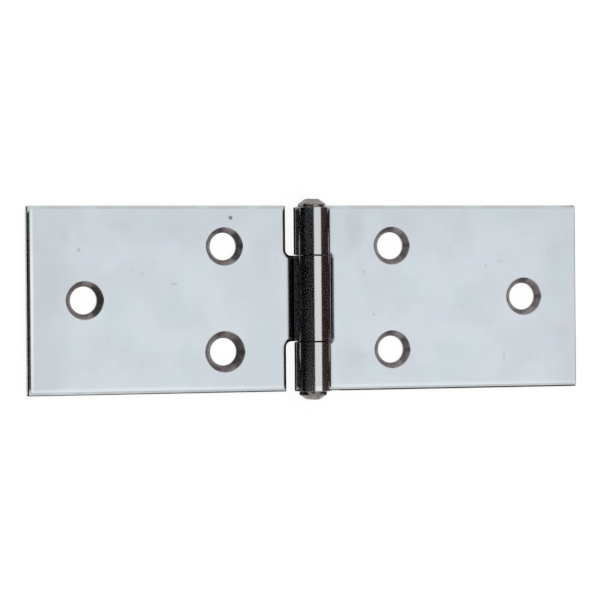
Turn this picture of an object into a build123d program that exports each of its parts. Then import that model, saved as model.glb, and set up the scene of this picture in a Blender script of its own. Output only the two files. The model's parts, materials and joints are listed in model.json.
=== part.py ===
from build123d import *
from math import asin, degrees
import os

# Fixed pin butt hinge, laid open and flat, in millimetres.
# The origin is on the pin's axis, halfway along it. +Y runs along the pin, +X towards the leaf
# with two knuckles, and +Z out of the countersunk faces, where the barrel stands proud.

# Driving dimensions of the sheet and the leaves
open_width = 100.0
leaf_height = 32.0
sheet_thickness = 1.5
corner_radius = 0.3

# Driving dimensions of the pin
pin_diameter = 3.2
head_overhang = 0.8
head_height = 1.4
head_flat_radius = 1.2
head_flat_round = 0.5
head_skirt = 0.55
head_shoulder_round = 0.25

# Driving dimensions of the knuckles. The outer knuckles stand in notches cut from the left leaf,
# and the middle one in a notch cut from the right leaf.
pin_clearance = 0.05
middle_knuckle_width = 14.75
knuckle_end_gap = 0.1
outer_notch_clearance = 1.0
outer_notch_corner_radius = 1.0
middle_notch_clearance = 0.85
middle_notch_corner_radius = 0.6
roll_end_gap = 0.2

# Driving dimensions of the screw holes, measured from the pin's axis and the leaf's edges
screw_hole_diameter = 4.7
countersink_diameter = 6.6
deep_countersink_diameter = 7.1
countersink_angle = 90.0
near_hole_reach = 15.25
near_hole_edge_distance = 7.0
far_hole_edge_distance = 10.0

# Edges rolled over by the press on the countersunk face, and just broken on the back
face_edge_round = 0.5
back_edge_break = 0.2

# Which way each leaf lies from the pin
LEFT = -1
RIGHT = 1

# Sizes worked out from the ones above
pin_radius = pin_diameter / 2
bore_radius = pin_radius + pin_clearance
barrel_radius = bore_radius + sheet_thickness
leaf_reach = open_width / 2
half_height = leaf_height / 2
face_z = -bore_radius
back_z = -barrel_radius
notch_reach = {LEFT: barrel_radius + outer_notch_clearance, RIGHT: barrel_radius + middle_notch_clearance}
half_middle_knuckle = middle_knuckle_width / 2
half_middle_notch = half_middle_knuckle + knuckle_end_gap
near_hole_y = half_height - near_hole_edge_distance
far_hole_x = leaf_reach - far_hole_edge_distance

# The roll starts under the pin, and three quarters of a turn bring it level with the pin on the
# leaf's own side. From there it drops until its outer corner is just clear of the leaf's face.
roll_start = -90
three_quarter_turn = 270
roll_end_drop = degrees(asin((bore_radius - roll_end_gap) / barrel_radius))
roll_angle = three_quarter_turn + roll_end_drop

# No edge is cut back by more than a third of the sheet, and edges are found to within a hair
widest_round = sheet_thickness / 3
hair = sheet_thickness / 100


def draw_plate(side):
    """Plan of a leaf's plate, from its outer edge to where its tabs begin."""
    width = leaf_reach - notch_reach[side]
    with Locations((side * (leaf_reach - width / 2), 0)):
        Rectangle(width, leaf_height)


def draw_tab(side, low, high):
    """Plan of the flat root of a tab, from the plate to under the pin, where its roll begins."""
    with Locations((side * notch_reach[side] / 2, (low + high) / 2)):
        Rectangle(notch_reach[side], high - low)


def round_face_outline(leaf, side):
    """Roll the flat sheet's outline over at the face, all round but for the tabs' ends."""
    rims = leaf.faces().sort_by(Axis.Z)[-1].outer_wire().edges()
    outline = rims.filter_by(lambda edge: side * edge.center().X > hair)
    fillet(outline, radius=min(face_edge_round, widest_round))


def roll_knuckle(side, low, high):
    """The rest of a tab: from under the pin up its far side, over it and down to the leaf."""
    turn = -side * roll_angle
    with BuildSketch(Plane.XZ.offset(-high)) as roll:
        with BuildLine():
            outside = CenterArc((0, 0), barrel_radius, roll_start, turn)
            inside = CenterArc((0, 0), bore_radius, roll_start, turn)
            Line(outside @ 0, inside @ 0)
            Line(outside @ 1, inside @ 1)
        make_face()
    extrude(roll.sketch, amount=high - low)


def break_back_edges(leaf, side):
    """Break the back's outline, and with it the ends of the barrel, which run on from it."""
    rims = leaf.edges().filter_by_position(Axis.Z, back_z - hair, back_z + hair)
    outline = rims.filter_by(lambda edge: side * edge.center().X > barrel_radius)
    chamfer(outline, length=min(back_edge_break, widest_round))


def sink_screw_hole(x, y, diameter):
    """One screw hole, through the leaf and countersunk from its face."""
    with Locations((x, y, face_z)):
        CounterSinkHole(
            radius=screw_hole_diameter / 2,
            counter_sink_radius=diameter / 2,
            counter_sink_angle=countersink_angle,
        )


# Left leaf: its one tab is rolled into the middle knuckle, and both corners are cut back
with BuildPart() as leaf_single_knuckle:
    with BuildSketch(Plane.XY.offset(back_z)) as single_blank:
        draw_plate(LEFT)
        draw_tab(LEFT, -half_middle_knuckle, half_middle_knuckle)
        tab_root = single_blank.vertices().group_by(Axis.X)[1].sort_by(Axis.Y)
        fillet(tab_root[1:3], radius=min(outer_notch_corner_radius, outer_notch_clearance))
        fillet(single_blank.vertices().group_by(Axis.X)[0], radius=corner_radius)
    extrude(amount=sheet_thickness)
    round_face_outline(leaf_single_knuckle, LEFT)
    roll_knuckle(LEFT, -half_middle_knuckle, half_middle_knuckle)
    break_back_edges(leaf_single_knuckle, LEFT)
    sink_screw_hole(-near_hole_reach, near_hole_y, countersink_diameter)
    sink_screw_hole(-near_hole_reach, -near_hole_y, deep_countersink_diameter)
    sink_screw_hole(-far_hole_x, 0, countersink_diameter)

# Right leaf: its two tabs are rolled into the outer knuckles, either side of the middle one
with BuildPart() as leaf_double_knuckle:
    with BuildSketch(Plane.XY.offset(back_z)) as double_blank:
        draw_plate(RIGHT)
        draw_tab(RIGHT, half_middle_notch, half_height)
        draw_tab(RIGHT, -half_height, -half_middle_notch)
        notch_corners = double_blank.vertices().group_by(Axis.X)[1]
        fillet(notch_corners, radius=min(middle_notch_corner_radius, middle_notch_clearance))
        fillet(double_blank.vertices().group_by(Axis.X)[-1], radius=corner_radius)
    extrude(amount=sheet_thickness)
    round_face_outline(leaf_double_knuckle, RIGHT)
    roll_knuckle(RIGHT, half_middle_notch, half_height)
    roll_knuckle(RIGHT, -half_height, -half_middle_notch)
    break_back_edges(leaf_double_knuckle, RIGHT)
    sink_screw_hole(near_hole_reach, near_hole_y, countersink_diameter)
    sink_screw_hole(near_hole_reach, -near_hole_y, countersink_diameter)
    sink_screw_hole(far_hole_x, 0, countersink_diameter)

# Pin: a plain shaft with both ends peened over into low heads, which seat on the outer knuckles.
# Each head slopes in from a straight skirt to a flat crown, where the hammer struck last.
with BuildPart() as hinge_pin:
    with BuildSketch():
        with BuildLine():
            head_radius = pin_radius + head_overhang
            crown_edge = (head_flat_radius, half_height + head_height)
            shoulder = (head_radius, half_height + head_skirt)
            Polyline(
                (0, 0),
                (0, half_height + head_height),
                crown_edge,
                shoulder,
                (head_radius, half_height),
                (pin_radius, half_height),
                (pin_radius, 0),
                close=True,
            )
        half_pin = make_face()
        fillet(half_pin.vertices().sort_by_distance(shoulder)[0], radius=head_shoulder_round)
        fillet(half_pin.vertices().sort_by_distance(crown_edge)[0], radius=head_flat_round)
        mirror(about=Plane.XZ)
    revolve(axis=Axis.Y)

leaf_single_knuckle.part.label = "leaf_single_knuckle"
leaf_double_knuckle.part.label = "leaf_double_knuckle"
hinge_pin.part.label = "hinge_pin"

os.makedirs("parts", exist_ok=True)
export_step(leaf_single_knuckle.part, "parts/leaf_single_knuckle.step")
export_step(leaf_double_knuckle.part, "parts/leaf_double_knuckle.step")
export_step(hinge_pin.part, "parts/hinge_pin.step")
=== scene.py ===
import json
from math import asin, ceil, cos, pi, radians, sin, tan

import bmesh
import bpy
from bpy.props import FloatProperty, FloatVectorProperty, PointerProperty
from bpy.types import Operator, Panel, PropertyGroup
from mathutils import Matrix, Vector


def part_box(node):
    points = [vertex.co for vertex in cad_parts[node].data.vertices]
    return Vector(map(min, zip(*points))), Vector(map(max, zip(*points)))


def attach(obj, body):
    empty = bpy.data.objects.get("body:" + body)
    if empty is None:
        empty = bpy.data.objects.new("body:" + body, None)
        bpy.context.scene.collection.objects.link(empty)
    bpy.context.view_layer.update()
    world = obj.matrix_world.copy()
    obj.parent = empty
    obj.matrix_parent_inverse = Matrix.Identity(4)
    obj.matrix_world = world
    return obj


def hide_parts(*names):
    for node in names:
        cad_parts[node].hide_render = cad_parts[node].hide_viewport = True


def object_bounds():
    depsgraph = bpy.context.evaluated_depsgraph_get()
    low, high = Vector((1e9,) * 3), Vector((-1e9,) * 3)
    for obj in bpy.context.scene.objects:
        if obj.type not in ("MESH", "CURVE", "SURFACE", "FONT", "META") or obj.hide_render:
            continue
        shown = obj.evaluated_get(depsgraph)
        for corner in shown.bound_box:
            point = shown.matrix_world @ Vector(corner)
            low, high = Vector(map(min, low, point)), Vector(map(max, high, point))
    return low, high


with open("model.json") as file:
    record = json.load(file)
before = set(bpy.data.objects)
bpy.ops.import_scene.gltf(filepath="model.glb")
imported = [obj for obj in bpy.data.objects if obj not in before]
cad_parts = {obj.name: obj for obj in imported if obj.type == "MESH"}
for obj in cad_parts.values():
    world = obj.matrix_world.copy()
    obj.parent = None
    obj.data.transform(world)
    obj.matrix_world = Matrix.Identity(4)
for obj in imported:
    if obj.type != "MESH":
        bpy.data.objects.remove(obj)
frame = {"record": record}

bl_info = {
    "name": "Fixed Pin Butt Hinge",
    "version": (1, 0, 0),
    "blender": (4, 5, 0),
    "location": "3D View > Sidebar > Hinge",
    "description": "Rolled, countersunk leaves on a riveted pin, with their zinc finish and a studio",
    "category": "Object",
}

# Everything is in metres, in the frame's own axes: +Y along the pin, +X towards the leaf with two
# knuckles, +Z out of the countersunk faces, and the origin on the pin's axis halfway along it.
MM = 0.001
LEFT = -1
RIGHT = 1

# Sizes that the frame knows
CAD_LOW, CAD_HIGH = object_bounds()
LEAF_LOW, LEAF_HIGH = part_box("leaf_single_knuckle")
PIN_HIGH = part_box("hinge_pin")[1]
SCREW_HOLES = [mount for mount in frame["record"]["mounts"] if mount["kind"] == "bore"]

# How finely round things are cut, and where their shading breaks
ARC_STEPS = 6
LIP_STEPS = 3
HOLE_STEPS = 96
PIN_STEPS = 96
PIN_PITCH = 0.15 * MM
ROLL_STEP = radians(4)
SMOOTH_BELOW = radians(40)
HAIR = 0.1e-6
CORNER_GUARD = 1.0 * MM
CARD_LIFT = 0.06 * MM
CARD_STEP_DEGREES = 4

# Angles of the metal that don't change with its sizes
THREE_QUARTER_TURN = radians(270)
COUNTERSINK_SLOPE = radians(45)

# Where the zinc's noise starts to show as clouds, shade, marks and patches of marks, and is full
CLOUD_RISE = (0.45, 0.7)
SHADE_RISE = (0.35, 0.65)
MARK_RISE = (0.6, 0.72)
PATCH_RISE = (0.4, 0.65)

# A stain's ragged rim, and how far out from its middle the stain is full and gone, in half sizes
RAGGED_SCALE = 1.5
STAIN_FULL = 0.2
STAIN_GONE = 1.2

# Where the painted shade beside the barrel is full and gone, off the middle of the pressed rounding, in
# halves of its depth
BARREL_SHADE_FULL = 1.5
BARREL_SHADE_GONE = 2

# Noise under this level dents a pin's head, and this many times as deep
DENT_LEVEL = 0.6
DENT_CONTRAST = 4.0

# The camera's sensor in millimetres, and the nearest and furthest that it sees
SENSOR_WIDTH = 36
CLIP_START = 0.01
CLIP_END = 10

WHITE = (1, 1, 1, 1)
BLACK = (0, 0, 0, 1)
PAPER = (0.9, 0.9, 0.9, 1)
ONE_QUAD = [(0, 1, 2, 3)]

# Finishes of the faces of a leaf, in the order of the numbers in their zone attribute
SHEET = 0
RIM = 1
SHEARED = 2
SUNK = 3
ZONE_FINISHES = ("Sheet Finish", "Rim Finish", "Sheared Finish", "Sunk Finish")

# Marks on the leaves in each tint: where, half their size across and along, and how strong.
# The shade marks are painted shade and the glare marks painted highlights; the stains, greens and
# specks are marks on the zinc. They are few, because a sheet with 44 of them rendered black.
MARKS_AND_PAINTED_LIGHT_MM = {
    # Painted shade: the sheet darker along its top and at its two outer ends
    "shade": [
        (0.0, 16.0, 90.0, 9.0, 0.2),
        (-50.0, 0.0, 10.0, 26.0, 0.35),
        (50.0, 0.0, 8.0, 26.0, 0.25),
    ],
    "stain": [
        (-8.3, 6.6, 1.9, 4.6, 0.08),
        (-34.1, 12.5, 2.8, 1.3, 0.12),
        (-43.4, 11.0, 1.3, 1.5, 0.12),
        (8.5, 12.1, 2.1, 4.2, 0.28),
        (9.7, 5.7, 1.6, 3.1, 0.12),
        (8.5, -10.4, 2.8, 2.2, 0.12),
    ],
    "green": [
        (-24.5, -1.2, 4.0, 2.4, 0.25),
        (28.3, 0.1, 2.4, 2.2, 0.25),
        (47.0, 3.7, 1.8, 6.0, 0.25),
    ],
    "speck": [
        (-14.1, 13.9, 0.45, 0.4, 0.85),
        (-41.0, 8.5, 0.4, 0.4, 0.3),
        (-29.9, 4.5, 0.3, 0.3, 0.2),
        (-24.3, 2.7, 0.7, 0.3, 0.22),
        (10.0, 4.5, 0.3, 0.3, 0.25),
        (11.8, -2.9, 0.3, 0.3, 0.25),
        (32.8, 5.4, 0.25, 0.25, 0.25),
        (35.5, 6.2, 1.2, 0.25, 0.12),
        (36.2, -10.3, 0.35, 1.1, 0.12),
    ],
    # Painted highlights: light lines just inside the rims of the left edge and of the lower edges
    "glare": [
        (-49.15, 0.0, 0.3, 22.0, 0.8),
        (-27.0, -15.6, 40.0, 0.9, 0.5),
        (27.0, -15.6, 40.0, 0.9, 0.45),
    ],
}

# Each finish of the zinc: the look's names for its colour, its two clouds and its roughness, and
# what the zinc group is given besides
FINISHES = {
    "Zinc sheet": (
        ("sheet", "warm_cloud", "cool_cloud", "sheet_roughness"),
        {
            "Cloud Size": 8 * MM,
            "Cloud Strength": 0.6,
            "Shade Strength": 0.055,
            "Mark Strength": 0.05,
            "Roughness Spread": 0.05,
            "Grain Size": 0.8 * MM,
            "Grain Stretch": 8.0,
            "Grain Depth": 0.4e-6,
            "Wave Size": 7 * MM,
            "Wave Depth": 20e-6,
        },
    ),
    "Rolled rim": (
        ("rim", "rim", "cool_cloud", "rim_roughness"),
        {"Cloud Size": 5 * MM, "Cloud Strength": 0.5, "Grain Size": 0.5 * MM, "Grain Depth": 1e-6},
    ),
    "Sheared edge": (
        ("sheared", "sunk", "cool_cloud", "cut_roughness"),
        {"Cloud Size": 3 * MM, "Cloud Strength": 0.5, "Grain Size": 0.4 * MM, "Grain Depth": 6e-6},
    ),
    "Countersink": (
        ("sunk", "sunk_cloud", "sunk", "cut_roughness"),
        {
            "Cloud Size": 1.6 * MM,
            "Mark Size": 0.5 * MM,
            "Mark Strength": 0.4,
            "Roughness Spread": 0.2,
            "Grain Size": 0.5 * MM,
            "Grain Depth": 9e-6,
        },
    ),
    "Peened pin": (
        ("pin", "pin_cloud", "pin", "pin_roughness"),
        {
            "Cloud Size": 1.4 * MM,
            "Mark Size": 0.5 * MM,
            "Mark Strength": 0.3,
            "Roughness Spread": 0.1,
            "Grain Size": 0.5 * MM,
            "Grain Depth": 6e-6,
        },
    ),
}


def size(name, default, description):
    """A length that the user can change, shown in the scene's own units."""
    return FloatProperty(
        name=name, description=description, default=default, min=0, subtype="DISTANCE", unit="LENGTH"
    )


def colour(name, default, description):
    """A colour that the user can change."""
    return FloatVectorProperty(
        name=name, description=description, default=default, min=0, max=1, subtype="COLOR", size=3
    )


def number(name, default, description):
    """A plain number that the user can change."""
    return FloatProperty(name=name, description=description, default=default)


def share(name, default, description):
    """A number from 0 to 1 that the user can change."""
    return FloatProperty(
        name=name, description=description, default=default, min=0, max=1, subtype="FACTOR"
    )


class LeafSizes(PropertyGroup):
    """Sizes of the two leaves."""

    reach: size("Leaf Reach", -LEAF_LOW.x, "From the pin's axis to a leaf's outer edge")
    half_height: size("Half Height", LEAF_HIGH.y, "Half the height of a leaf, along the pin")
    barrel_radius: size("Barrel Radius", LEAF_HIGH.z, "Outer radius of the rolled knuckles")
    thickness: size("Sheet Thickness", 1.5 * MM, "Thickness of the sheet")
    corner_radius: size("Corner Radius", 0.3 * MM, "Rounding of a leaf's outer corners")
    half_knuckle: size("Half Middle Knuckle", 7.375 * MM, "Half the width of the middle knuckle")
    knuckle_gap: size("Knuckle Gap", 0.05 * MM, "Gap between two knuckles, along the pin")
    outer_notch: size("Outer Notch Clearance", 1.0 * MM, "From the outer knuckles to the left leaf")
    outer_notch_radius: size("Outer Notch Radius", 1.0 * MM, "Fillet in the left leaf's notches")
    middle_notch: size("Middle Notch Clearance", 0.85 * MM, "From the middle knuckle to the right leaf")
    middle_notch_radius: size("Middle Notch Radius", 0.6 * MM, "Fillet in the right leaf's notch")
    roll_end_gap: size("Roll End Gap", 0.2 * MM, "Gap between the roll's end and its leaf")
    face_roll_width: size("Edge Roll Width", 0.6 * MM, "Width of the press's rounding at the face")
    face_roll_depth: size("Edge Roll Depth", 0.5 * MM, "Depth of the press's rounding at the face")
    notch_roll_width: size("Notch Roll Width", 0.7 * MM, "Width of the press's rounding in a notch")
    end_drop: size("Upper End Drop", 0.3 * MM, "How far the upper knuckle ends below its leaf's edge")
    crisp_roll_width: size("Crisp Edge Width", 0.22 * MM, "Rounding of the right leaf's cropped edge")
    back_taper: size("Back Taper", 0.12 * MM, "How far the torn edge draws in towards the back")
    back_taper_height: size("Back Taper Height", 0.45 * MM, "Height of the torn edge's taper")
    hole_break: size("Hole Edge Break", 0.1 * MM, "Rounding of a hole's edge at the back")
    hole_lip: size("Countersink Lip", 0.15 * MM, "Rounding where a countersink meets the face")


class PinSizes(PropertyGroup):
    """Sizes of the pin."""

    radius: size("Pin Radius", 1.6 * MM, "Radius of the shaft")
    head_radius: size("Head Radius", PIN_HIGH.x, "Radius of the peened heads")
    half_length: size("Half Length", PIN_HIGH.y, "From the middle of the pin to the top of a head")
    flat_radius: size("Head Flat Radius", 1.2 * MM, "Radius of the flat crown of a head")
    flat_round: size("Head Flat Rounding", 0.5 * MM, "Rounding of the crown's edge")
    skirt: size("Head Skirt", 0.55 * MM, "Height of the straight side of a head")
    shoulder: size("Head Shoulder", 0.25 * MM, "Rounding between a head's side and its slope")
    dents: size("Peening Dents", 0.05 * MM, "How far the hammered heads stray from a true form")
    dent_size: size("Dent Size", 1.1 * MM, "How far apart the dents of the heads lie")
    seed: number("Dent Seed", 3.0, "Which pattern of dents is made")


class ZincLook(PropertyGroup):
    """Colours and finish of the zinc plate, with the tints of its painted shade and painted highlights.
    """

    sheet: colour("Sheet", (0.648, 0.706, 0.752), "Blue-white zinc of the leaves")
    warm_cloud: colour("Warm Clouds", (0.658, 0.67, 0.743), "Lavender clouds in the zinc")
    cool_cloud: colour("Cool Clouds", (0.612, 0.706, 0.735), "Greenish clouds in the zinc")
    rolled: colour("Rolled Sheet", (0.63, 0.645, 0.655), "Zinc of the knuckles, stretched greyer")
    # Painted shade: the near-black colour laid on the sheet and the rims just beside the barrel, and
    # how far it reaches
    barrel_shade: colour("Barrel Shade", (0.1, 0.09, 0.1), "Dull zinc beside the barrel, where plating is thin")
    barrel_shade_reach: size("Recess Reach", 4.3 * MM, "From the pin's axis to where the dull zinc ends")
    rim_barrel_shade_start: size("Rim Recess Start", 4.0 * MM, "Where the rims' dull zinc starts to clear")
    rim_barrel_shade_reach: size("Rim Recess Reach", 4.7 * MM, "From the pin's axis to the rims' bright zinc")
    # Painted shade: tint of the darker top strip and ends of the sheet
    shade: colour("Shade", (0.45, 0.49, 0.53), "Tint of the sheet's darker zones")
    stain: colour("Stain", (0.45, 0.42, 0.4), "Tint of the brownish stains")
    green: colour("Green", (0.52, 0.66, 0.6), "Tint of the greenish stains")
    speck: colour("Speck", (0.05, 0.055, 0.06), "Tint of the specks and scratches")
    # Painted highlight: tint of the light lines just inside the rims
    glare: colour("Glare", (0.9, 0.93, 0.94), "Tint of the burnished lines beside the rims")
    rim: colour("Rolled Rim", (0.51, 0.535, 0.555), "Duller zinc on the rolled-over rims")
    sheared: colour("Sheared Edge", (0.46, 0.46, 0.47), "Zinc on the torn edges of the sheet")
    sunk: colour("Countersink", (0.27, 0.24, 0.245), "Thin, brownish zinc in the countersinks")
    sunk_cloud: colour("Countersink Clouds", (0.16, 0.14, 0.145), "Bare patches in the countersinks")
    pin: colour("Pin", (0.26, 0.235, 0.23), "Grey-brown zinc of the peened pin")
    pin_cloud: colour("Pin Clouds", (0.16, 0.14, 0.135), "Hammered patches of the pin")
    sheet_roughness: share("Sheet Roughness", 0.13, "Roughness of the leaves")
    rim_roughness: share("Rim Roughness", 0.18, "Roughness of the rolled-over rims")
    cut_roughness: share("Cut Roughness", 0.32, "Roughness of edges and countersinks")
    pin_roughness: share("Pin Roughness", 0.18, "Roughness of the pin")


class StudioSizes(PropertyGroup):
    """Camera, floor, light and dark cards."""

    yaw: number("Yaw", 19.004, "Camera's turn to the left, in degrees")
    pitch: number("Pitch", -0.305, "Camera's tilt along the pin, in degrees")
    roll: number("Roll", -0.473, "Camera's roll, in degrees")
    distance: size("Distance", 575.8 * MM, "From the camera to what it looks at")
    target_x: number("Target X", -2.254 * MM, "What the camera looks at, across the leaves")
    target_y: number("Target Y", -0.269 * MM, "What the camera looks at, along the pin")
    lens: number("Lens", 201.34, "Focal length, in millimetres")
    floor_size: size("Floor Size", 3.0, "Width of the floor")
    floor_white: share("Floor White", 0.9, "How much of the floor's look is plain white")
    fill: number("Fill", 0.9, "Strength of the sky's light")
    lamp_power: number("Lamp Power", 3.0, "Power of the soft lamp, in watts")
    lamp_size: size("Lamp Size", 0.8, "Width of the soft lamp")
    lamp_height: size("Lamp Height", 0.9, "Height of the soft lamp")
    card_reach: size("Card Reach", 0.35, "From the pin's axis to the dark cards")
    card_half_width: size("Card Half Width", 0.05, "Half the width of the arched cards, along the pin")
    window_left: number("Window Left", -5.5, "Where the light between the cards starts, in degrees")
    window_right: number("Window Right", 39.6, "Where the light between the cards ends, in degrees")
    card_gap: size("Card Gap", 2.0 * MM, "Bare floor between the left leaf and the card beside it")
    band_height: size("Band Height", 0.17, "Height of the dark band along the left horizon")
    band_half_angle: number("Band Half Angle", 66.0, "How far the dark band goes round, in degrees")
    card_low: number("Card Low", 91.0, "How far down the arched cards go, in degrees")
    front_low: size("Front Card Start", 0.09, "From the pin's axis to the front card's near side")
    front_high: size("Front Card End", 0.32, "From the pin's axis to the front card's far side")
    front_height: size("Front Card Height", 0.16, "Height of the front card")
    black: colour("Black Card", (0.006, 0.005, 0.006), "Left card and the shade beside the hinge")
    brown: colour("Brown Card", (0.036, 0.013, 0.012), "Right card")
    grey: colour("Grey Card", (0.08, 0.08, 0.08), "Front card")


def perpendicular(direction):
    """The direction a quarter turn to the left, which is inwards on an anticlockwise outline."""
    return Vector((-direction.y, direction.x))


def outline_ring(corners, inset, edge_inset, notch_inset):
    """The blank's outline drawn in by inset, by edge_inset at its outer edge and by notch_inset
    along its notch.

    corners are (x, y, radius), anticlockwise, and every side runs along X or Y. A point on each
    side of a corner keeps the corner's soft shading from running on along the straight sides.
    """
    outermost = max(abs(x) for x, y, radius in corners)

    def inset_between(start, end):
        if start.x != end.x:
            return inset
        return edge_inset if abs(start.x) == outermost else notch_inset

    ring = []
    for index, (x, y, radius) in enumerate(corners):
        corner = Vector((x, y))
        before = Vector(corners[index - 1][:2])
        after = Vector(corners[(index + 1) % len(corners)][:2])
        way_in = (corner - before).normalized()
        way_out = (after - corner).normalized()
        in_left, out_left = perpendicular(way_in), perpendicular(way_out)
        in_inset, out_inset = inset_between(before, corner), inset_between(corner, after)
        if way_in.cross(way_out) > 0:
            in_spoke, out_spoke = min(in_inset - radius, 0), min(out_inset - radius, 0)
            centre = corner + in_left * max(radius, in_inset) + out_left * max(radius, out_inset)
        else:
            in_spoke, out_spoke = radius + in_inset, radius + out_inset
            centre = corner - (in_left + out_left) * radius
        guard = radius + CORNER_GUARD
        ring.append(corner - way_in * guard + in_left * in_inset)
        for step in range(ARC_STEPS + 1 if radius else 1):
            angle = pi / 2 * step / ARC_STEPS
            ring.append(centre + in_left * cos(angle) * in_spoke + out_left * sin(angle) * out_spoke)
        ring.append(corner + way_out * guard + out_left * out_inset)
    return ring


def circle_ring(centre, radius):
    """Points of a circle."""
    angles = [2 * pi * step / HOLE_STEPS for step in range(HOLE_STEPS)]
    return [centre + Vector((cos(angle), sin(angle))) * radius for angle in angles]


def join_loops(bm, upper, lower):
    """Join a closed loop of points to the next one with quads. Returns the quads."""
    places = range(len(upper))
    return [bm.faces.new((upper[i - 1], upper[i], lower[i], lower[i - 1])) for i in places]


def add_bands(bm, rings, zone_layer):
    """Join each ring to the next. rings are (points, height, finish of the band below)."""
    loops = [[bm.verts.new((*point, height)) for point in points] for points, height, zone in rings]
    for upper, lower, (points, height, zone) in zip(loops, loops[1:], rings):
        for quad in join_loops(bm, upper, lower):
            quad[zone_layer] = zone


def leaf_corners(sizes, side):
    """Corners of a leaf's flat blank, with the tabs that will be rolled, anticlockwise."""
    edge = sizes.reach
    tip = -roll_angle(sizes) * neutral_radius(sizes)
    top = sizes.half_height
    if side == LEFT:
        notch = sizes.barrel_radius + sizes.outer_notch
        half = [
            (tip, sizes.half_knuckle, 0),
            (notch, sizes.half_knuckle, sizes.outer_notch_radius),
            (notch, top, 0),
            (edge, top, sizes.corner_radius),
        ]
    else:
        notch = sizes.barrel_radius + sizes.middle_notch
        root = sizes.half_knuckle + sizes.knuckle_gap
        half = [
            (notch, root, sizes.middle_notch_radius),
            (tip, root, 0),
            (tip, top, 0),
            (edge, top, sizes.corner_radius),
        ]
    lower = [(x, -y, radius) for x, y, radius in reversed(half)]
    corners = [(side * x, y, radius) for x, y, radius in half + lower]
    return corners if side == LEFT else corners[::-1]


def roll_angle(sizes):
    """How far a tab turns round the pin, until its outer corner nearly meets its own leaf."""
    bore_radius = sizes.barrel_radius - sizes.thickness
    drop = asin((bore_radius - sizes.roll_end_gap) / sizes.barrel_radius)
    return THREE_QUARTER_TURN + drop


def neutral_radius(sizes):
    """Radius of the sheet's middle in the roll, where it neither stretches nor shrinks."""
    return sizes.barrel_radius - sizes.thickness / 2


def edge_rings(sizes, side):
    """Rings of the blank's edge, from the face, over the press's rounding, to the back."""
    corners = leaf_corners(sizes, side)
    face = sizes.thickness - sizes.barrel_radius
    back = -sizes.barrel_radius
    width, notch_width = sizes.face_roll_width, sizes.notch_roll_width
    edge_width = width if side == LEFT else sizes.crisp_roll_width
    rings = []
    for step in range(ARC_STEPS + 1):
        angle = pi / 2 * step / ARC_STEPS
        drawn_in = 1 - sin(angle)
        ring = outline_ring(corners, width * drawn_in, edge_width * drawn_in, notch_width * drawn_in)
        zone = SHEARED if step == ARC_STEPS else RIM
        rings.append((ring, face - sizes.face_roll_depth * (1 - cos(angle)), zone))
    taper = sizes.back_taper
    rings.append((outline_ring(corners, 0, 0, 0), back + sizes.back_taper_height, SHEARED))
    rings.append((outline_ring(corners, taper, taper, taper), back, SHEARED))
    return rings


def hole_rings(sizes, hole):
    """Rings of a countersunk hole, from the face to the back."""
    centre = Vector(hole["pos_m"][:2])
    face = sizes.thickness - sizes.barrel_radius
    back = -sizes.barrel_radius
    throat = hole["dims"]["r_mm"] * MM
    wall = hole["dims"]["length_mm"] * MM
    mouth = throat + sizes.thickness - wall
    lip = sizes.hole_lip
    lip_start = mouth + lip * tan(COUNTERSINK_SLOPE / 2)
    profile = []
    for step in range(LIP_STEPS + 1):
        angle = COUNTERSINK_SLOPE * step / LIP_STEPS
        zone = SUNK if step == LIP_STEPS else RIM
        profile.append((lip_start - lip * sin(angle), face - lip * (1 - cos(angle)), zone))
    profile += [
        (throat, back + wall, SHEARED),
        (throat, back + sizes.hole_break, SHEARED),
        (throat + sizes.hole_break, back, SHEARED),
    ]
    return [(circle_ring(centre, radius), height, zone) for radius, height, zone in profile]


def cap_sheet(bm, height, zone_layer):
    """Fill the flat side of the sheet at a height, round its holes."""
    level = {vert for vert in bm.verts if abs(vert.co.z - height) < HAIR}
    rim = [edge for edge in bm.edges if edge.is_boundary and level.issuperset(edge.verts)]
    filled = bmesh.ops.triangle_fill(bm, edges=rim, use_beauty=True, use_dissolve=False)
    for face in filled["geom"]:
        if isinstance(face, bmesh.types.BMFace):
            face[zone_layer] = SHEET


def score_tabs(bm, sizes, side):
    """Cut the tabs across at every step of the roll, so that they can follow it."""
    steps = ceil(roll_angle(sizes) / ROLL_STEP)
    pitch = neutral_radius(sizes) * roll_angle(sizes) / steps
    for step in range(steps):
        everything = [*bm.verts, *bm.edges, *bm.faces]
        cut = (-side * pitch * step, 0, 0)
        bmesh.ops.bisect_plane(bm, geom=everything, dist=HAIR / 10, plane_co=cut, plane_no=(1, 0, 0))


def press_blank(name, sizes, side):
    """A leaf's flat blank: its outline, its countersunk holes and its pressed edges."""
    bm = bmesh.new()
    zone_layer = bm.faces.layers.int.new("zone")
    add_bands(bm, edge_rings(sizes, side), zone_layer)
    for hole in SCREW_HOLES:
        if hole["pos_m"][0] * side > 0:
            add_bands(bm, hole_rings(sizes, hole), zone_layer)
    bmesh.ops.remove_doubles(bm, verts=bm.verts, dist=HAIR)
    cap_sheet(bm, sizes.thickness - sizes.barrel_radius, zone_layer)
    cap_sheet(bm, -sizes.barrel_radius, zone_layer)
    score_tabs(bm, sizes, side)
    bmesh.ops.recalc_face_normals(bm, faces=bm.faces)
    return stand_mesh(name, bm)


def stand_mesh(name, bm):
    """Put a finished bmesh in the scene, smooth but for its real edges."""
    mesh = bpy.data.meshes.new(name)
    bm.to_mesh(mesh)
    bm.free()
    mesh.shade_smooth()
    mesh.set_sharp_from_angle(angle=SMOOTH_BELOW)
    piece = bpy.data.objects.new(name, mesh)
    bpy.context.scene.collection.objects.link(piece)
    return piece


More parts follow.
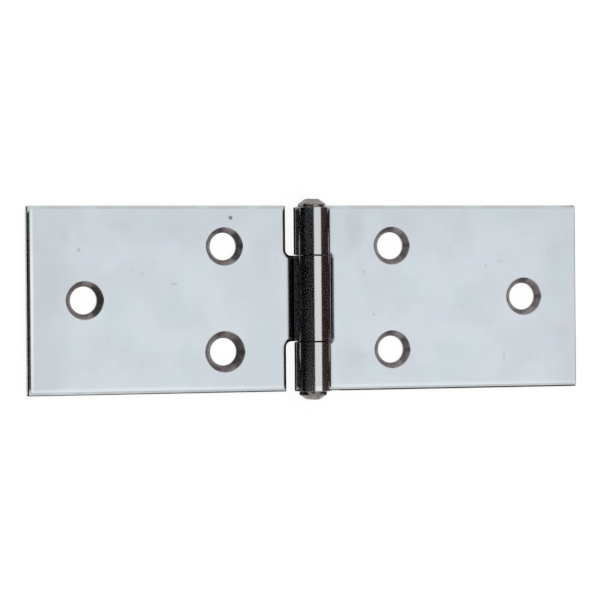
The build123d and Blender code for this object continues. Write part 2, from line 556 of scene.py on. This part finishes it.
def rounded_path(corners):
    """A path through corners of (across, along, radius), each turned on an arc of its radius."""
    path = []
    for index, (across, along, radius) in enumerate(corners):
        corner = Vector((across, along))
        if not radius:
            path.append(corner)
            continue
        to_before = (Vector(corners[index - 1][:2]) - corner).normalized()
        to_after = (Vector(corners[index + 1][:2]) - corner).normalized()
        half_turn = to_before.angle(-to_after) / 2
        centre = corner + (to_before + to_after).normalized() * radius / cos(half_turn)
        start = corner + to_before * radius * tan(half_turn) - centre
        end = corner + to_after * radius * tan(half_turn) - centre
        for step in range(ARC_STEPS + 1):
            path.append(centre + start.lerp(end, step / ARC_STEPS).normalized() * radius)
    return path


def divided(path, pitch):
    """The same path with points added, so that none lies further than pitch from the next."""
    points = [path[0]]
    for start, end in zip(path, path[1:]):
        steps = ceil((end - start).length / pitch)
        points += [start.lerp(end, step / steps) for step in range(1, steps + 1)]
    return points


def head_profile(sizes, seat, top):
    """Half profile of a head, from its crown to the shaft under it."""
    corners = [
        (0, top, 0),
        (sizes.flat_radius, top, sizes.flat_round),
        (sizes.head_radius, seat + sizes.skirt, sizes.shoulder),
        (sizes.head_radius, seat, 0),
        (sizes.radius, seat, 0),
    ]
    return divided(rounded_path(corners), PIN_PITCH)


def turn_pin(name, sizes, seat, drop):
    """The pin turned from its half profile: a shaft with a head on each end, not yet hammered."""
    upper = head_profile(sizes, seat - drop, sizes.half_length - drop)
    lower = head_profile(sizes, seat, sizes.half_length)
    profile = upper + [Vector((point.x, -point.y)) for point in reversed(lower)]
    bm = bmesh.new()
    rows = []
    for point in profile:
        angles = [2 * pi * step / PIN_STEPS for step in range(PIN_STEPS)]
        around = [(point.x * sin(angle), point.y, point.x * cos(angle)) for angle in angles]
        rows.append([bm.verts.new(place) for place in around])
    for upper_row, lower_row in zip(rows, rows[1:]):
        join_loops(bm, upper_row, lower_row)
    bmesh.ops.remove_doubles(bm, verts=bm.verts, dist=HAIR)
    bmesh.ops.recalc_face_normals(bm, faces=bm.faces)
    return stand_mesh(name, bm)


def add_node(tree, kind, **settings):
    """A node with its settings. Numbers, colours and vectors in inputs go to its sockets by name."""
    node = tree.nodes.new(kind)
    for name, value in settings.items():
        if name == "inputs":
            for socket, content in value.items():
                node.inputs[socket].default_value = content
        else:
            setattr(node, name, value)
    return node


def join(tree, value, socket):
    """Give a socket a value, which is a number, a colour, a vector or another socket."""
    if isinstance(value, bpy.types.NodeSocket):
        tree.links.new(value, socket)
    else:
        socket.default_value = value


def maths(tree, operation, first, second=0.0):
    """A maths node on two values, each a number or a socket. Returns its result."""
    node = add_node(tree, "ShaderNodeMath", operation=operation)
    join(tree, first, node.inputs[0])
    join(tree, second, node.inputs[1])
    return node.outputs[0]


def product(tree, first, second):
    """One value times another."""
    return maths(tree, "MULTIPLY", first, second)


def split(tree, vector):
    """The X, Y and Z of a vector."""
    node = add_node(tree, "ShaderNodeSeparateXYZ")
    join(tree, vector, node.inputs[0])
    return node.outputs


def vector_maths(tree, operation, first, second=(0, 0, 0)):
    """A maths node on two vectors. Returns its vector, or its value for a length."""
    node = add_node(tree, "ShaderNodeVectorMath", operation=operation)
    join(tree, first, node.inputs[0])
    join(tree, second, node.inputs[1])
    return node.outputs["Value" if operation == "LENGTH" else "Vector"]


def noise(tree, place, scale, detail, kind="Fac"):
    """Noise at a place, finer for a larger scale."""
    node = add_node(tree, "ShaderNodeTexNoise", inputs={"Detail": detail})
    join(tree, place, node.inputs["Vector"])
    join(tree, scale, node.inputs["Scale"])
    return node.outputs[kind]


def rise(tree, value, low, high, steep="SMOOTHSTEP"):
    """From 0 where a value is at low to 1 where it is at high, and level beyond them."""
    node = add_node(tree, "ShaderNodeMapRange", interpolation_type=steep)
    for socket, content in zip(node.inputs, (value, low, high)):
        join(tree, content, socket)
    return node.outputs["Result"]


def blended(tree, amount, first, second):
    """Two colours blended by an amount."""
    node = add_node(tree, "ShaderNodeMix", data_type="RGBA")
    colours = [socket for socket in node.inputs if socket.type == "RGBA"]
    join(tree, amount, node.inputs[0])
    join(tree, first, colours[0])
    join(tree, second, colours[1])
    return next(socket for socket in node.outputs if socket.type == "RGBA")


def new_group(name, kind, inputs, outputs):
    """An empty node group with its sockets. Returns it, what it is given and what it puts out."""
    tree = bpy.data.node_groups.new(name, kind)
    for socket, (form, default) in inputs.items():
        made = tree.interface.new_socket(socket, in_out="INPUT", socket_type=form)
        if default is not None:
            made.default_value = default
    for socket, form in outputs.items():
        tree.interface.new_socket(socket, in_out="OUTPUT", socket_type=form)
    given = add_node(tree, "NodeGroupInput").outputs
    result = add_node(tree, "NodeGroupOutput").inputs
    return tree, given, result


FLOAT = "NodeSocketFloat"
COLOUR = "NodeSocketColor"
VECTOR = "NodeSocketVector"
GEOMETRY = "NodeSocketGeometry"
MATERIAL = "NodeSocketMaterial"


def roll_tree():
    """Geometry nodes that roll a blank's tabs round the pin and give each zone its finish."""
    inputs = {
        "Geometry": (GEOMETRY, None),
        "Side": (FLOAT, 1.0),
        "Neutral Radius": (FLOAT, 1.0),
        "Knuckle Root": (FLOAT, 0.0),
        "Knuckle End": (FLOAT, 1.0),
        "End Drop": (FLOAT, 0.0),
        **{finish: (MATERIAL, None) for finish in ZONE_FINISHES},
    }
    name = "Roll Tabs Round Pin"
    tree, given, result = new_group(name, "GeometryNodeTree", inputs, {"Geometry": GEOMETRY})
    tree.is_modifier = True
    x, y, z = split(tree, add_node(tree, "GeometryNodeInputPosition").outputs[0])
    inwards = product(tree, given["Side"], -1.0)
    past_axis = product(tree, x, inwards)
    angle = maths(tree, "DIVIDE", past_axis, given["Neutral Radius"])
    radius = product(tree, z, -1.0)
    across = product(tree, radius, maths(tree, "SINE", angle))
    turned = rise(tree, angle, 0.0, pi / 2)
    towards_end = rise(tree, y, given["Knuckle Root"], given["Knuckle End"], "LINEAR")
    drop = product(tree, product(tree, turned, towards_end), given["End Drop"])
    rolled = add_node(tree, "ShaderNodeCombineXYZ")
    join(tree, product(tree, across, inwards), rolled.inputs["X"])
    join(tree, maths(tree, "SUBTRACT", y, drop), rolled.inputs["Y"])
    join(tree, product(tree, z, maths(tree, "COSINE", angle)), rolled.inputs["Z"])

    marked = add_node(tree, "GeometryNodeStoreNamedAttribute", data_type="FLOAT", domain="POINT")
    join(tree, "rolled", marked.inputs["Name"])
    join(tree, given["Geometry"], marked.inputs["Geometry"])
    join(tree, turned, marked.inputs["Value"])
    beyond = add_node(tree, "FunctionNodeCompare", data_type="FLOAT", operation="GREATER_THAN")
    join(tree, past_axis, beyond.inputs[0])
    move = add_node(tree, "GeometryNodeSetPosition")
    join(tree, marked.outputs["Geometry"], move.inputs["Geometry"])
    join(tree, beyond.outputs[0], move.inputs["Selection"])
    join(tree, rolled.outputs[0], move.inputs["Position"])

    whole = add_node(tree, "GeometryNodeRealizeInstances")
    join(tree, move.outputs["Geometry"], whole.inputs["Geometry"])
    zone = add_node(tree, "GeometryNodeInputNamedAttribute", data_type="INT", inputs={"Name": "zone"})
    finished = whole.outputs["Geometry"]
    for zone_number, finish in enumerate(ZONE_FINISHES):
        chosen = add_node(tree, "FunctionNodeCompare", data_type="INT", operation="EQUAL")
        join(tree, zone.outputs[0], chosen.inputs[2])
        join(tree, zone_number, chosen.inputs[3])
        finished = dressed(tree, finished, chosen.outputs[0], given[finish])
    join(tree, finished, result["Geometry"])
    return tree


def dressed(tree, geometry, chosen, finish):
    """Geometry with a material on its chosen faces."""
    dress = add_node(tree, "GeometryNodeSetMaterial")
    join(tree, geometry, dress.inputs["Geometry"])
    join(tree, chosen, dress.inputs["Selection"])
    join(tree, finish, dress.inputs["Material"])
    return dress.outputs["Geometry"]


def peen_tree():
    """Geometry nodes that hammer a turned pin's heads and give the pin its finish."""
    inputs = {
        "Geometry": (GEOMETRY, None),
        "Dent Depth": (FLOAT, 0.0),
        "Dent Size": (FLOAT, 1.0),
        "Head From": (FLOAT, 0.0),
        "Head To": (FLOAT, 1.0),
        "Seed": (FLOAT, 0.0),
        "Finish": (MATERIAL, None),
    }
    tree, given, result = new_group("Peen Heads", "GeometryNodeTree", inputs, {"Geometry": GEOMETRY})
    tree.is_modifier = True
    position = add_node(tree, "GeometryNodeInputPosition").outputs[0]
    dents = add_node(tree, "ShaderNodeTexNoise", noise_dimensions="4D", inputs={"Detail": 1.0})
    join(tree, position, dents.inputs["Vector"])
    join(tree, given["Seed"], dents.inputs["W"])
    join(tree, maths(tree, "DIVIDE", 1.0, given["Dent Size"]), dents.inputs["Scale"])
    outwards = maths(tree, "ABSOLUTE", split(tree, position)["Y"])
    on_head = rise(tree, outwards, given["Head From"], given["Head To"])
    pressed = maths(tree, "MINIMUM", maths(tree, "SUBTRACT", dents.outputs[0], DENT_LEVEL), 0.0)
    depth = product(tree, product(tree, pressed, given["Dent Depth"]), on_head)
    push = add_node(tree, "ShaderNodeVectorMath", operation="SCALE")
    join(tree, add_node(tree, "GeometryNodeInputNormal").outputs[0], push.inputs[0])
    join(tree, product(tree, depth, DENT_CONTRAST), push.inputs["Scale"])
    move = add_node(tree, "GeometryNodeSetPosition")
    join(tree, given["Geometry"], move.inputs["Geometry"])
    join(tree, push.outputs["Vector"], move.inputs["Offset"])
    whole = add_node(tree, "GeometryNodeRealizeInstances")
    join(tree, move.outputs["Geometry"], whole.inputs["Geometry"])
    join(tree, dressed(tree, whole.outputs["Geometry"], True, given["Finish"]), result["Geometry"])
    return tree


def apply_tree(piece, tree, values):
    """Run a node tree on a piece with the values of its named inputs, and keep the plain mesh.

    Its flat faces keep their true shading up to their edges, because larger faces weigh more.
    """
    modifier = piece.modifiers.new(tree.name, "NODES")
    modifier.node_group = tree
    for socket in tree.interface.items_tree:
        if socket.in_out == "INPUT" and socket.name in values:
            modifier[socket.identifier] = values[socket.name]
    piece.modifiers.new("True Flats", "WEIGHTED_NORMAL").keep_sharp = True
    depsgraph = bpy.context.evaluated_depsgraph_get()
    worked = bpy.data.meshes.new_from_object(
        piece.evaluated_get(depsgraph), preserve_all_data_layers=True, depsgraph=depsgraph
    )
    piece.modifiers.clear()
    blank = piece.data
    piece.data = worked
    bpy.data.meshes.remove(blank)
    worked.name = piece.name


def shared(name, make):
    """The node group of that name, made the first time."""
    return bpy.data.node_groups.get(name) or make()


def zinc_group():
    """Shader group of the zinc plate: clouded colour, uneven gloss and the sheet's fine relief."""
    inputs = {
        "Zinc": (COLOUR, WHITE),
        "Warm Cloud": (COLOUR, WHITE),
        "Cool Cloud": (COLOUR, WHITE),
        "Cloud Size": (FLOAT, 7 * MM),
        "Cloud Strength": (FLOAT, 1.0),
        "Shade Strength": (FLOAT, 0.0),
        "Mark Size": (FLOAT, 0.9 * MM),
        "Mark Strength": (FLOAT, 0.0),
        "Roughness": (FLOAT, 0.1),
        "Roughness Spread": (FLOAT, 0.04),
        "Grain Size": (FLOAT, 0.8 * MM),
        "Grain Stretch": (FLOAT, 1.0),
        "Grain Depth": (FLOAT, 1e-6),
        "Wave Size": (FLOAT, 8 * MM),
        "Wave Depth": (FLOAT, 0.0),
    }
    outputs = {"Colour": COLOUR, "Roughness": FLOAT, "Height": FLOAT}
    tree, given, result = new_group("Zinc Plate", "ShaderNodeTree", inputs, outputs)
    spot = add_node(tree, "ShaderNodeTexCoord").outputs["Object"]

    cloud_scale = maths(tree, "DIVIDE", 1.0, given["Cloud Size"])
    clouds = add_node(tree, "ShaderNodeSeparateColor")
    join(tree, noise(tree, spot, cloud_scale, 3.0, "Color"), clouds.inputs[0])
    warm = product(tree, rise(tree, clouds.outputs[0], *CLOUD_RISE), given["Cloud Strength"])
    cool = product(tree, rise(tree, clouds.outputs[1], *CLOUD_RISE), given["Cloud Strength"])
    clouded = blended(tree, warm, given["Zinc"], given["Warm Cloud"])
    clouded = blended(tree, cool, clouded, given["Cool Cloud"])
    shaded = product(tree, rise(tree, clouds.outputs[2], *SHADE_RISE), given["Shade Strength"])
    clouded = blended(tree, shaded, clouded, BLACK)
    mark_scale = maths(tree, "DIVIDE", 1.0, given["Mark Size"])
    marks = rise(tree, noise(tree, spot, mark_scale, 2.0), *MARK_RISE)
    in_patches = product(tree, marks, rise(tree, clouds.outputs[2], *PATCH_RISE))
    marked = product(tree, in_patches, given["Mark Strength"])
    join(tree, blended(tree, marked, clouded, BLACK), result["Colour"])

    along = add_node(tree, "ShaderNodeCombineXYZ", inputs={"X": 1.0, "Z": 1.0})
    join(tree, maths(tree, "DIVIDE", 1.0, given["Grain Stretch"]), along.inputs["Y"])
    drawn = vector_maths(tree, "MULTIPLY", spot, along.outputs[0])
    grain = noise(tree, drawn, maths(tree, "DIVIDE", 1.0, given["Grain Size"]), 5.0)
    spread = product(tree, maths(tree, "SUBTRACT", grain, 0.5), given["Roughness Spread"])
    join(tree, maths(tree, "ADD", given["Roughness"], spread), result["Roughness"])
    waves = noise(tree, spot, maths(tree, "DIVIDE", 1.0, given["Wave Size"]), 0.0)
    fine = product(tree, grain, given["Grain Depth"])
    broad = product(tree, waves, given["Wave Depth"])
    join(tree, maths(tree, "ADD", fine, broad), result["Height"])
    return tree


def stain_and_painted_light_group():
    """Shader group of one mark with a ragged rim: a stain, a speck, a patch of painted shade or a
    painted highlight.
    """
    inputs = {
        "Colour": (COLOUR, WHITE),
        "Tint": (COLOUR, BLACK),
        "Centre": (VECTOR, (0, 0, 0)),
        "Half Size": (VECTOR, (1, 1, 1)),
        "Strength": (FLOAT, 0.1),
    }
    tree, given, result = new_group("Stain", "ShaderNodeTree", inputs, {"Colour": COLOUR})
    spot = add_node(tree, "ShaderNodeTexCoord").outputs["Object"]
    offset = vector_maths(tree, "SUBTRACT", spot, given["Centre"])
    offset = vector_maths(tree, "DIVIDE", offset, given["Half Size"])
    ragged = noise(tree, offset, RAGGED_SCALE, 3.0, "Color")
    ragged = vector_maths(tree, "SUBTRACT", ragged, (0.5, 0.5, 0.5))
    distance = vector_maths(tree, "LENGTH", vector_maths(tree, "ADD", offset, ragged))
    inside = maths(tree, "SUBTRACT", 1.0, rise(tree, distance, STAIN_FULL, STAIN_GONE))
    amount = product(tree, inside, given["Strength"])
    join(tree, blended(tree, amount, given["Colour"], given["Tint"]), result["Colour"])
    return tree


def cleared(owner):
    """The emptied node tree of a material or a world."""
    owner.use_nodes = True
    owner.node_tree.nodes.clear()
    return owner.node_tree


def put_out(tree, surface, kind="ShaderNodeOutputMaterial"):
    """Make a shader what a material or a world shows."""
    join(tree, surface, add_node(tree, kind).inputs["Surface"])


def zinc_material(name, finish_colour=None):
    """The finish of that name on the shared zinc group, made the first time."""
    if name in bpy.data.materials:
        return bpy.data.materials[name]
    look = bpy.context.scene.hinge_zinc
    (*shades, roughness), values = FINISHES[name]
    material = bpy.data.materials.new(name)
    tree = cleared(material)
    group = shared("Zinc Plate", zinc_group)
    plate = add_node(tree, "ShaderNodeGroup", node_tree=group, inputs=values)
    for socket, shade in zip(("Zinc", "Warm Cloud", "Cool Cloud"), shades):
        plate.inputs[socket].default_value = (*getattr(look, shade), 1)
    plate.inputs["Roughness"].default_value = getattr(look, roughness)
    surface = plate.outputs["Colour"]
    if finish_colour:
        surface = finish_colour(tree, surface)
    bump = add_node(tree, "ShaderNodeBump", inputs={"Strength": 1.0, "Distance": 1.0})
    join(tree, plate.outputs["Height"], bump.inputs["Height"])
    metal = add_node(tree, "ShaderNodeBsdfPrincipled", inputs={"Metallic": 1.0})
    join(tree, surface, metal.inputs["Base Color"])
    join(tree, plate.outputs["Roughness"], metal.inputs["Roughness"])
    join(tree, bump.outputs["Normal"], metal.inputs["Normal"])
    put_out(tree, metal.outputs[0])
    return material


def in_barrel_shade(tree, surface, near, far):
    """Painted shade under the bulge of the barrel, up to near from the pin's axis, and gone at far."""
    leaves, look = bpy.context.scene.hinge_leaves, bpy.context.scene.hinge_zinc
    x, y, z = split(tree, add_node(tree, "ShaderNodeTexCoord").outputs["Object"])
    half_depth = leaves.face_roll_depth / 2
    middle = leaves.barrel_radius - leaves.thickness + half_depth
    off_middle = maths(tree, "ABSOLUTE", maths(tree, "ADD", z, middle))
    inside = rise(tree, maths(tree, "ABSOLUTE", x), far, near)
    level = rise(tree, off_middle, half_depth * BARREL_SHADE_GONE, half_depth * BARREL_SHADE_FULL)
    end = leaves.half_height - leaves.face_roll_width
    within = rise(tree, maths(tree, "ABSOLUTE", y), end, end - leaves.face_roll_width)
    amount = product(tree, product(tree, inside, level), within)
    return blended(tree, amount, surface, (*look.barrel_shade, 1))


def colour_sheet(tree, surface):
    """Zinc of the sheet, greyer on the knuckles, with painted shade beside the barrel, its stains and
    specks, and patches of painted shade and painted highlight.
    """
    look, leaves = bpy.context.scene.hinge_zinc, bpy.context.scene.hinge_leaves
    rolled = add_node(tree, "ShaderNodeAttribute", attribute_name="rolled").outputs["Fac"]
    surface = blended(tree, rolled, surface, (*look.rolled, 1))
    surface = in_barrel_shade(tree, surface, leaves.barrel_radius, look.barrel_shade_reach)
    group = shared("Stain", stain_and_painted_light_group)
    # Lay on the marks: stains and specks, and the painted shade and painted highlights
    for tint, marks in MARKS_AND_PAINTED_LIGHT_MM.items():
        for x, y, half_across, half_along, strength in marks:
            stain = add_node(tree, "ShaderNodeGroup", node_tree=group)
            join(tree, surface, stain.inputs["Colour"])
            stain.inputs["Tint"].default_value = (*getattr(look, tint), 1)
            stain.inputs["Centre"].default_value = (x * MM, y * MM, 0)
            stain.inputs["Half Size"].default_value = (half_across * MM, half_along * MM, 1)
            stain.inputs["Strength"].default_value = strength
            surface = stain.outputs["Colour"]
    return surface


def colour_rim(tree, surface):
    """Zinc of the rims that the press rolls over, with painted shade beside the barrel."""
    look = bpy.context.scene.hinge_zinc
    return in_barrel_shade(tree, surface, look.rim_barrel_shade_start, look.rim_barrel_shade_reach)


def make_leaf(name, node, body, side):
    """Press a leaf's blank, roll its tabs, and put it in its solid's place."""
    sizes = bpy.context.scene.hinge_leaves
    piece = press_blank(name, sizes, side)
    values = {
        "Side": float(side),
        "Neutral Radius": neutral_radius(sizes),
        "Knuckle Root": sizes.half_knuckle,
        "Knuckle End": sizes.half_height,
        "End Drop": sizes.end_drop,
        "Sheet Finish": zinc_material("Zinc sheet", colour_sheet),
        "Rim Finish": zinc_material("Rolled rim", colour_rim),
        "Sheared Finish": zinc_material("Sheared edge"),
        "Sunk Finish": zinc_material("Countersink"),
    }
    apply_tree(piece, shared("Roll Tabs Round Pin", roll_tree), values)
    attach(piece, body)
    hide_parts(node)


class HINGE_OT_single_leaf(Operator):
    """Make the left leaf, whose one tab is rolled into the middle knuckle"""

    bl_idname = "hinge.single_leaf"
    bl_label = "Leaf With Middle Knuckle"

    def execute(self, context):
        make_leaf("rolled_leaf_single", "leaf_single_knuckle", "swinging_leaf", LEFT)
        return {"FINISHED"}


class HINGE_OT_double_leaf(Operator):
    """Make the right leaf, whose two tabs are rolled into the outer knuckles"""

    bl_idname = "hinge.double_leaf"
    bl_label = "Leaf With Outer Knuckles"

    def execute(self, context):
        make_leaf("rolled_leaf_double", "leaf_double_knuckle", "fixed_leaf", RIGHT)
        return {"FINISHED"}


class HINGE_OT_pin(Operator):
    """Turn the pin and peen its two heads"""

    bl_idname = "hinge.pin"
    bl_label = "Riveted Pin"

    def execute(self, context):
        sizes = context.scene.hinge_pin
        leaves = context.scene.hinge_leaves
        seat = leaves.half_height
        piece = turn_pin("peened_pin", sizes, seat, leaves.end_drop)
        values = {
            "Dent Depth": sizes.dents,
            "Dent Size": sizes.dent_size,
            "Head From": seat,
            "Head To": seat + sizes.skirt,
            "Seed": sizes.seed,
            "Finish": zinc_material("Peened pin"),
        }
        apply_tree(piece, peen_tree(), values)
        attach(piece, "fixed_leaf")
        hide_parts("hinge_pin")
        return {"FINISHED"}


def seen_directly(tree):
    """1 for rays that come straight from the camera, a mirror or clear glass, otherwise 0."""
    path = add_node(tree, "ShaderNodeLightPath").outputs
    mirrored = maths(tree, "MAXIMUM", path["Is Camera Ray"], path["Is Glossy Ray"])
    return maths(tree, "MAXIMUM", mirrored, path["Is Transmission Ray"])


def mixed(tree, amount, first, second):
    """Two shaders mixed by an amount."""
    mix = add_node(tree, "ShaderNodeMixShader")
    for socket, value in zip(mix.inputs, (amount, first.outputs[0], second.outputs[0])):
        join(tree, value, socket)
    return mix.outputs[0]


def white_floor(studio):
    """White floor that keeps a little of the object's shadow."""
    material = bpy.data.materials.new("White floor")
    tree = cleared(material)
    paper = add_node(tree, "ShaderNodeBsdfDiffuse", inputs={"Color": PAPER})
    white = add_node(tree, "ShaderNodeEmission", inputs={"Color": WHITE, "Strength": 1.0})
    whiteness = product(tree, seen_directly(tree), studio.floor_white)
    put_out(tree, mixed(tree, whiteness, paper, white))
    return material


def set_surface(name, points, faces, material):
    """Put a surface of the studio in the scene, which isn't part of the hinge."""
    mesh = bpy.data.meshes.new(name)
    mesh.from_pydata(points, [], faces)
    mesh.materials.append(material)
    surface = bpy.data.objects.new(name, mesh)
    bpy.context.scene.collection.objects.link(surface)
    return surface


def lay_floor(studio):
    """Floor under the leaves' backs."""
    half = studio.floor_size / 2
    corners = [(-half, -half), (half, -half), (half, half), (-half, half)]
    points = [(x, y, CAD_LOW.z) for x, y in corners]
    set_surface("floor", points, ONE_QUAD, white_floor(studio))


def card_cloth(name, shade):
    """Plain cloth of a card."""
    material = bpy.data.materials.new(name)
    tree = cleared(material)
    cloth = add_node(tree, "ShaderNodeEmission", inputs={"Color": (*shade, 1), "Strength": 1.0})
    put_out(tree, cloth.outputs[0])
    return material


def put_card(name, points, faces, cloth):
    """A card that shows only where the metal mirrors it, and casts no shadow."""
    card = set_surface(name, points, faces, cloth)
    for rays in ("camera", "diffuse", "shadow", "transmission", "volume_scatter"):
        setattr(card, "visible_" + rays, False)


def strip_card(name, points, cloth):
    """A card along points that come in pairs, one on each side of it."""
    starts = range(0, len(points) - 2, 2)
    put_card(name, points, [(start, start + 1, start + 3, start + 2) for start in starts], cloth)


def arch_card(name, studio, start, end, cloth):
    """A card arched over the pin, from one angle off the vertical to another."""
    steps = ceil(abs(end - start) / CARD_STEP_DEGREES)
    width = studio.card_half_width
    points = []
    for step in range(steps + 1):
        angle = radians(start + (end - start) * step / steps)
        x, z = studio.card_reach * sin(angle), studio.card_reach * cos(angle)
        points += [(x, -width, z), (x, width, z)]
    strip_card(name, points, cloth)


def flat_card(name, low, high, cloth):
    """A card that lies just over the floor beside the hinge, from one corner to another."""
    height = CAD_LOW.z + CARD_LIFT
    corners = [(low[0], low[1]), (high[0], low[1]), (high[0], high[1]), (low[0], high[1])]
    put_card(name, [(x, y, height) for x, y in corners], ONE_QUAD, cloth)


def band_card(studio, cloth):
    """An upright card that curves round the left of the hinge, low on the horizon."""
    steps = ceil(studio.band_half_angle / CARD_STEP_DEGREES) * 2
    points = []
    for step in range(steps + 1):
        angle = radians(studio.band_half_angle * (2 * step / steps - 1))
        x, y = -studio.card_reach * cos(angle), studio.card_reach * sin(angle)
        points += [(x, y, CAD_LOW.z), (x, y, studio.band_height)]
    strip_card("card_band", points, cloth)


def put_cards(studio, leaves):
    """Dark cards round the hinge, which give the bright metal its black lines.

    The floor between the two cards before the hinge stays bare, for the lower head's light crown.
    """
    black = card_cloth("Black card", studio.black)
    brown = card_cloth("Brown card", studio.brown)
    grey = card_cloth("Grey card", studio.grey)
    far, wide = studio.card_reach, studio.card_half_width
    edge, side = leaves.reach, leaves.half_height
    gutter = leaves.barrel_radius + leaves.outer_notch + leaves.face_roll_width
    arch_card("card_left", studio, studio.window_left, -studio.card_low, black)
    arch_card("card_right", studio, studio.window_right, studio.card_low, brown)
    flat_card("card_beside_left", (-far, -side), (-edge - studio.card_gap, wide), black)
    band_card(studio, black)
    flat_card("card_beside_right", (edge, -side), (far, wide), black)
    # Painted shadow: a black sheet under the barrel, mirrored by the metal in place of the barrel's
    # shadow on the floor
    flat_card("shadow_card_under_barrel", (-gutter, -side), (gutter, side), black)
    flat_card("card_before_left", (-far, -far), (-leaves.barrel_radius, -side), grey)
    flat_card("card_before_right", (2 * leaves.barrel_radius, -far), (far, -side), grey)
    low, high = studio.front_low, studio.front_high
    top = CAD_LOW.z + studio.front_height
    points = [(low, -far, CAD_LOW.z), (high, -far, CAD_LOW.z), (high, -far, top), (low, -far, top)]
    put_card("card_front", points, ONE_QUAD, grey)


def light_world(studio):
    """White all round for the eye and the metal, and a plain soft light for the rest."""
    world = bpy.data.worlds.new("Studio")
    bpy.context.scene.world = world
    tree = cleared(world)
    light = add_node(tree, "ShaderNodeBackground", inputs={"Color": WHITE, "Strength": studio.fill})
    white = add_node(tree, "ShaderNodeBackground", inputs={"Color": WHITE, "Strength": 1.0})
    surface = mixed(tree, seen_directly(tree), light, white)
    put_out(tree, surface, "ShaderNodeOutputWorld")


def hang_lamp(studio):
    """Large soft lamp straight above, which gives the floor its faint shadow."""
    lamp = bpy.data.lights.new("soft_lamp", "AREA")
    lamp.size = studio.lamp_size
    lamp.energy = studio.lamp_power
    holder = bpy.data.objects.new("soft_lamp", lamp)
    holder.location = (0, 0, studio.lamp_height)
    holder.visible_glossy = False
    bpy.context.scene.collection.objects.link(holder)


def place_camera(studio):
    """Camera over the left leaf, turned towards the pin."""
    yaw, pitch, roll = radians(studio.yaw), radians(studio.pitch), radians(studio.roll)
    back = Vector((-sin(yaw) * cos(pitch), -sin(pitch), cos(yaw) * cos(pitch)))
    right = Vector((0, 1, 0)).cross(back).normalized()
    up = back.cross(right)
    turned_right = right * cos(roll) + up * sin(roll)
    turned_up = up * cos(roll) - right * sin(roll)
    place = Vector((studio.target_x, studio.target_y, 0)) + back * studio.distance
    camera = bpy.data.cameras.new("Camera")
    camera.lens = studio.lens
    camera.sensor_width = SENSOR_WIDTH
    camera.clip_start = CLIP_START
    camera.clip_end = CLIP_END
    eye = bpy.data.objects.new("Camera", camera)
    bpy.context.scene.collection.objects.link(eye)
    turn = Matrix((turned_right, turned_up, back)).transposed().to_4x4()
    eye.matrix_world = Matrix.Translation(place) @ turn
    bpy.context.scene.camera = eye


class HINGE_OT_studio(Operator):
    """Set up the floor, the light, the dark cards and the camera"""

    bl_idname = "hinge.studio"
    bl_label = "Studio"

    def execute(self, context):
        studio = context.scene.hinge_studio
        lay_floor(studio)
        light_world(studio)
        hang_lamp(studio)
        put_cards(studio, context.scene.hinge_leaves)
        place_camera(studio)
        context.scene.view_settings.view_transform = "Standard"
        return {"FINISHED"}


PIECES = (HINGE_OT_single_leaf, HINGE_OT_double_leaf, HINGE_OT_pin, HINGE_OT_studio)
SETTINGS = {
    "hinge_leaves": LeafSizes,
    "hinge_pin": PinSizes,
    "hinge_zinc": ZincLook,
    "hinge_studio": StudioSizes,
}


class HINGE_PT_pieces(Panel):
    """The hinge's pieces, its studio and their settings"""

    bl_idname = "HINGE_PT_pieces"
    bl_label = "Butt Hinge"
    bl_space_type = "VIEW_3D"
    bl_region_type = "UI"
    bl_category = "Hinge"

    def draw(self, context):
        for piece in PIECES:
            self.layout.operator(piece.bl_idname)
        for settings in SETTINGS:
            box = self.layout.box()
            group = getattr(context.scene, settings)
            for name in group.bl_rna.properties.keys():
                if name not in ("rna_type", "name"):
                    box.prop(group, name)


def register():
    """Add the classes, and their settings to the scene."""
    for part in (*SETTINGS.values(), *PIECES, HINGE_PT_pieces):
        bpy.utils.register_class(part)
    for name, group in SETTINGS.items():
        setattr(bpy.types.Scene, name, PointerProperty(type=group))


def unregister():
    """Take the settings and the classes away again."""
    for name in SETTINGS:
        delattr(bpy.types.Scene, name)
    for part in (HINGE_PT_pieces, *reversed(PIECES), *SETTINGS.values()):
        bpy.utils.unregister_class(part)


def main():
    """Build every piece and the studio."""
    register()
    bpy.ops.hinge.single_leaf()
    bpy.ops.hinge.double_leaf()
    bpy.ops.hinge.pin()
    bpy.ops.hinge.studio()


if __name__ == "__main__":
    main()
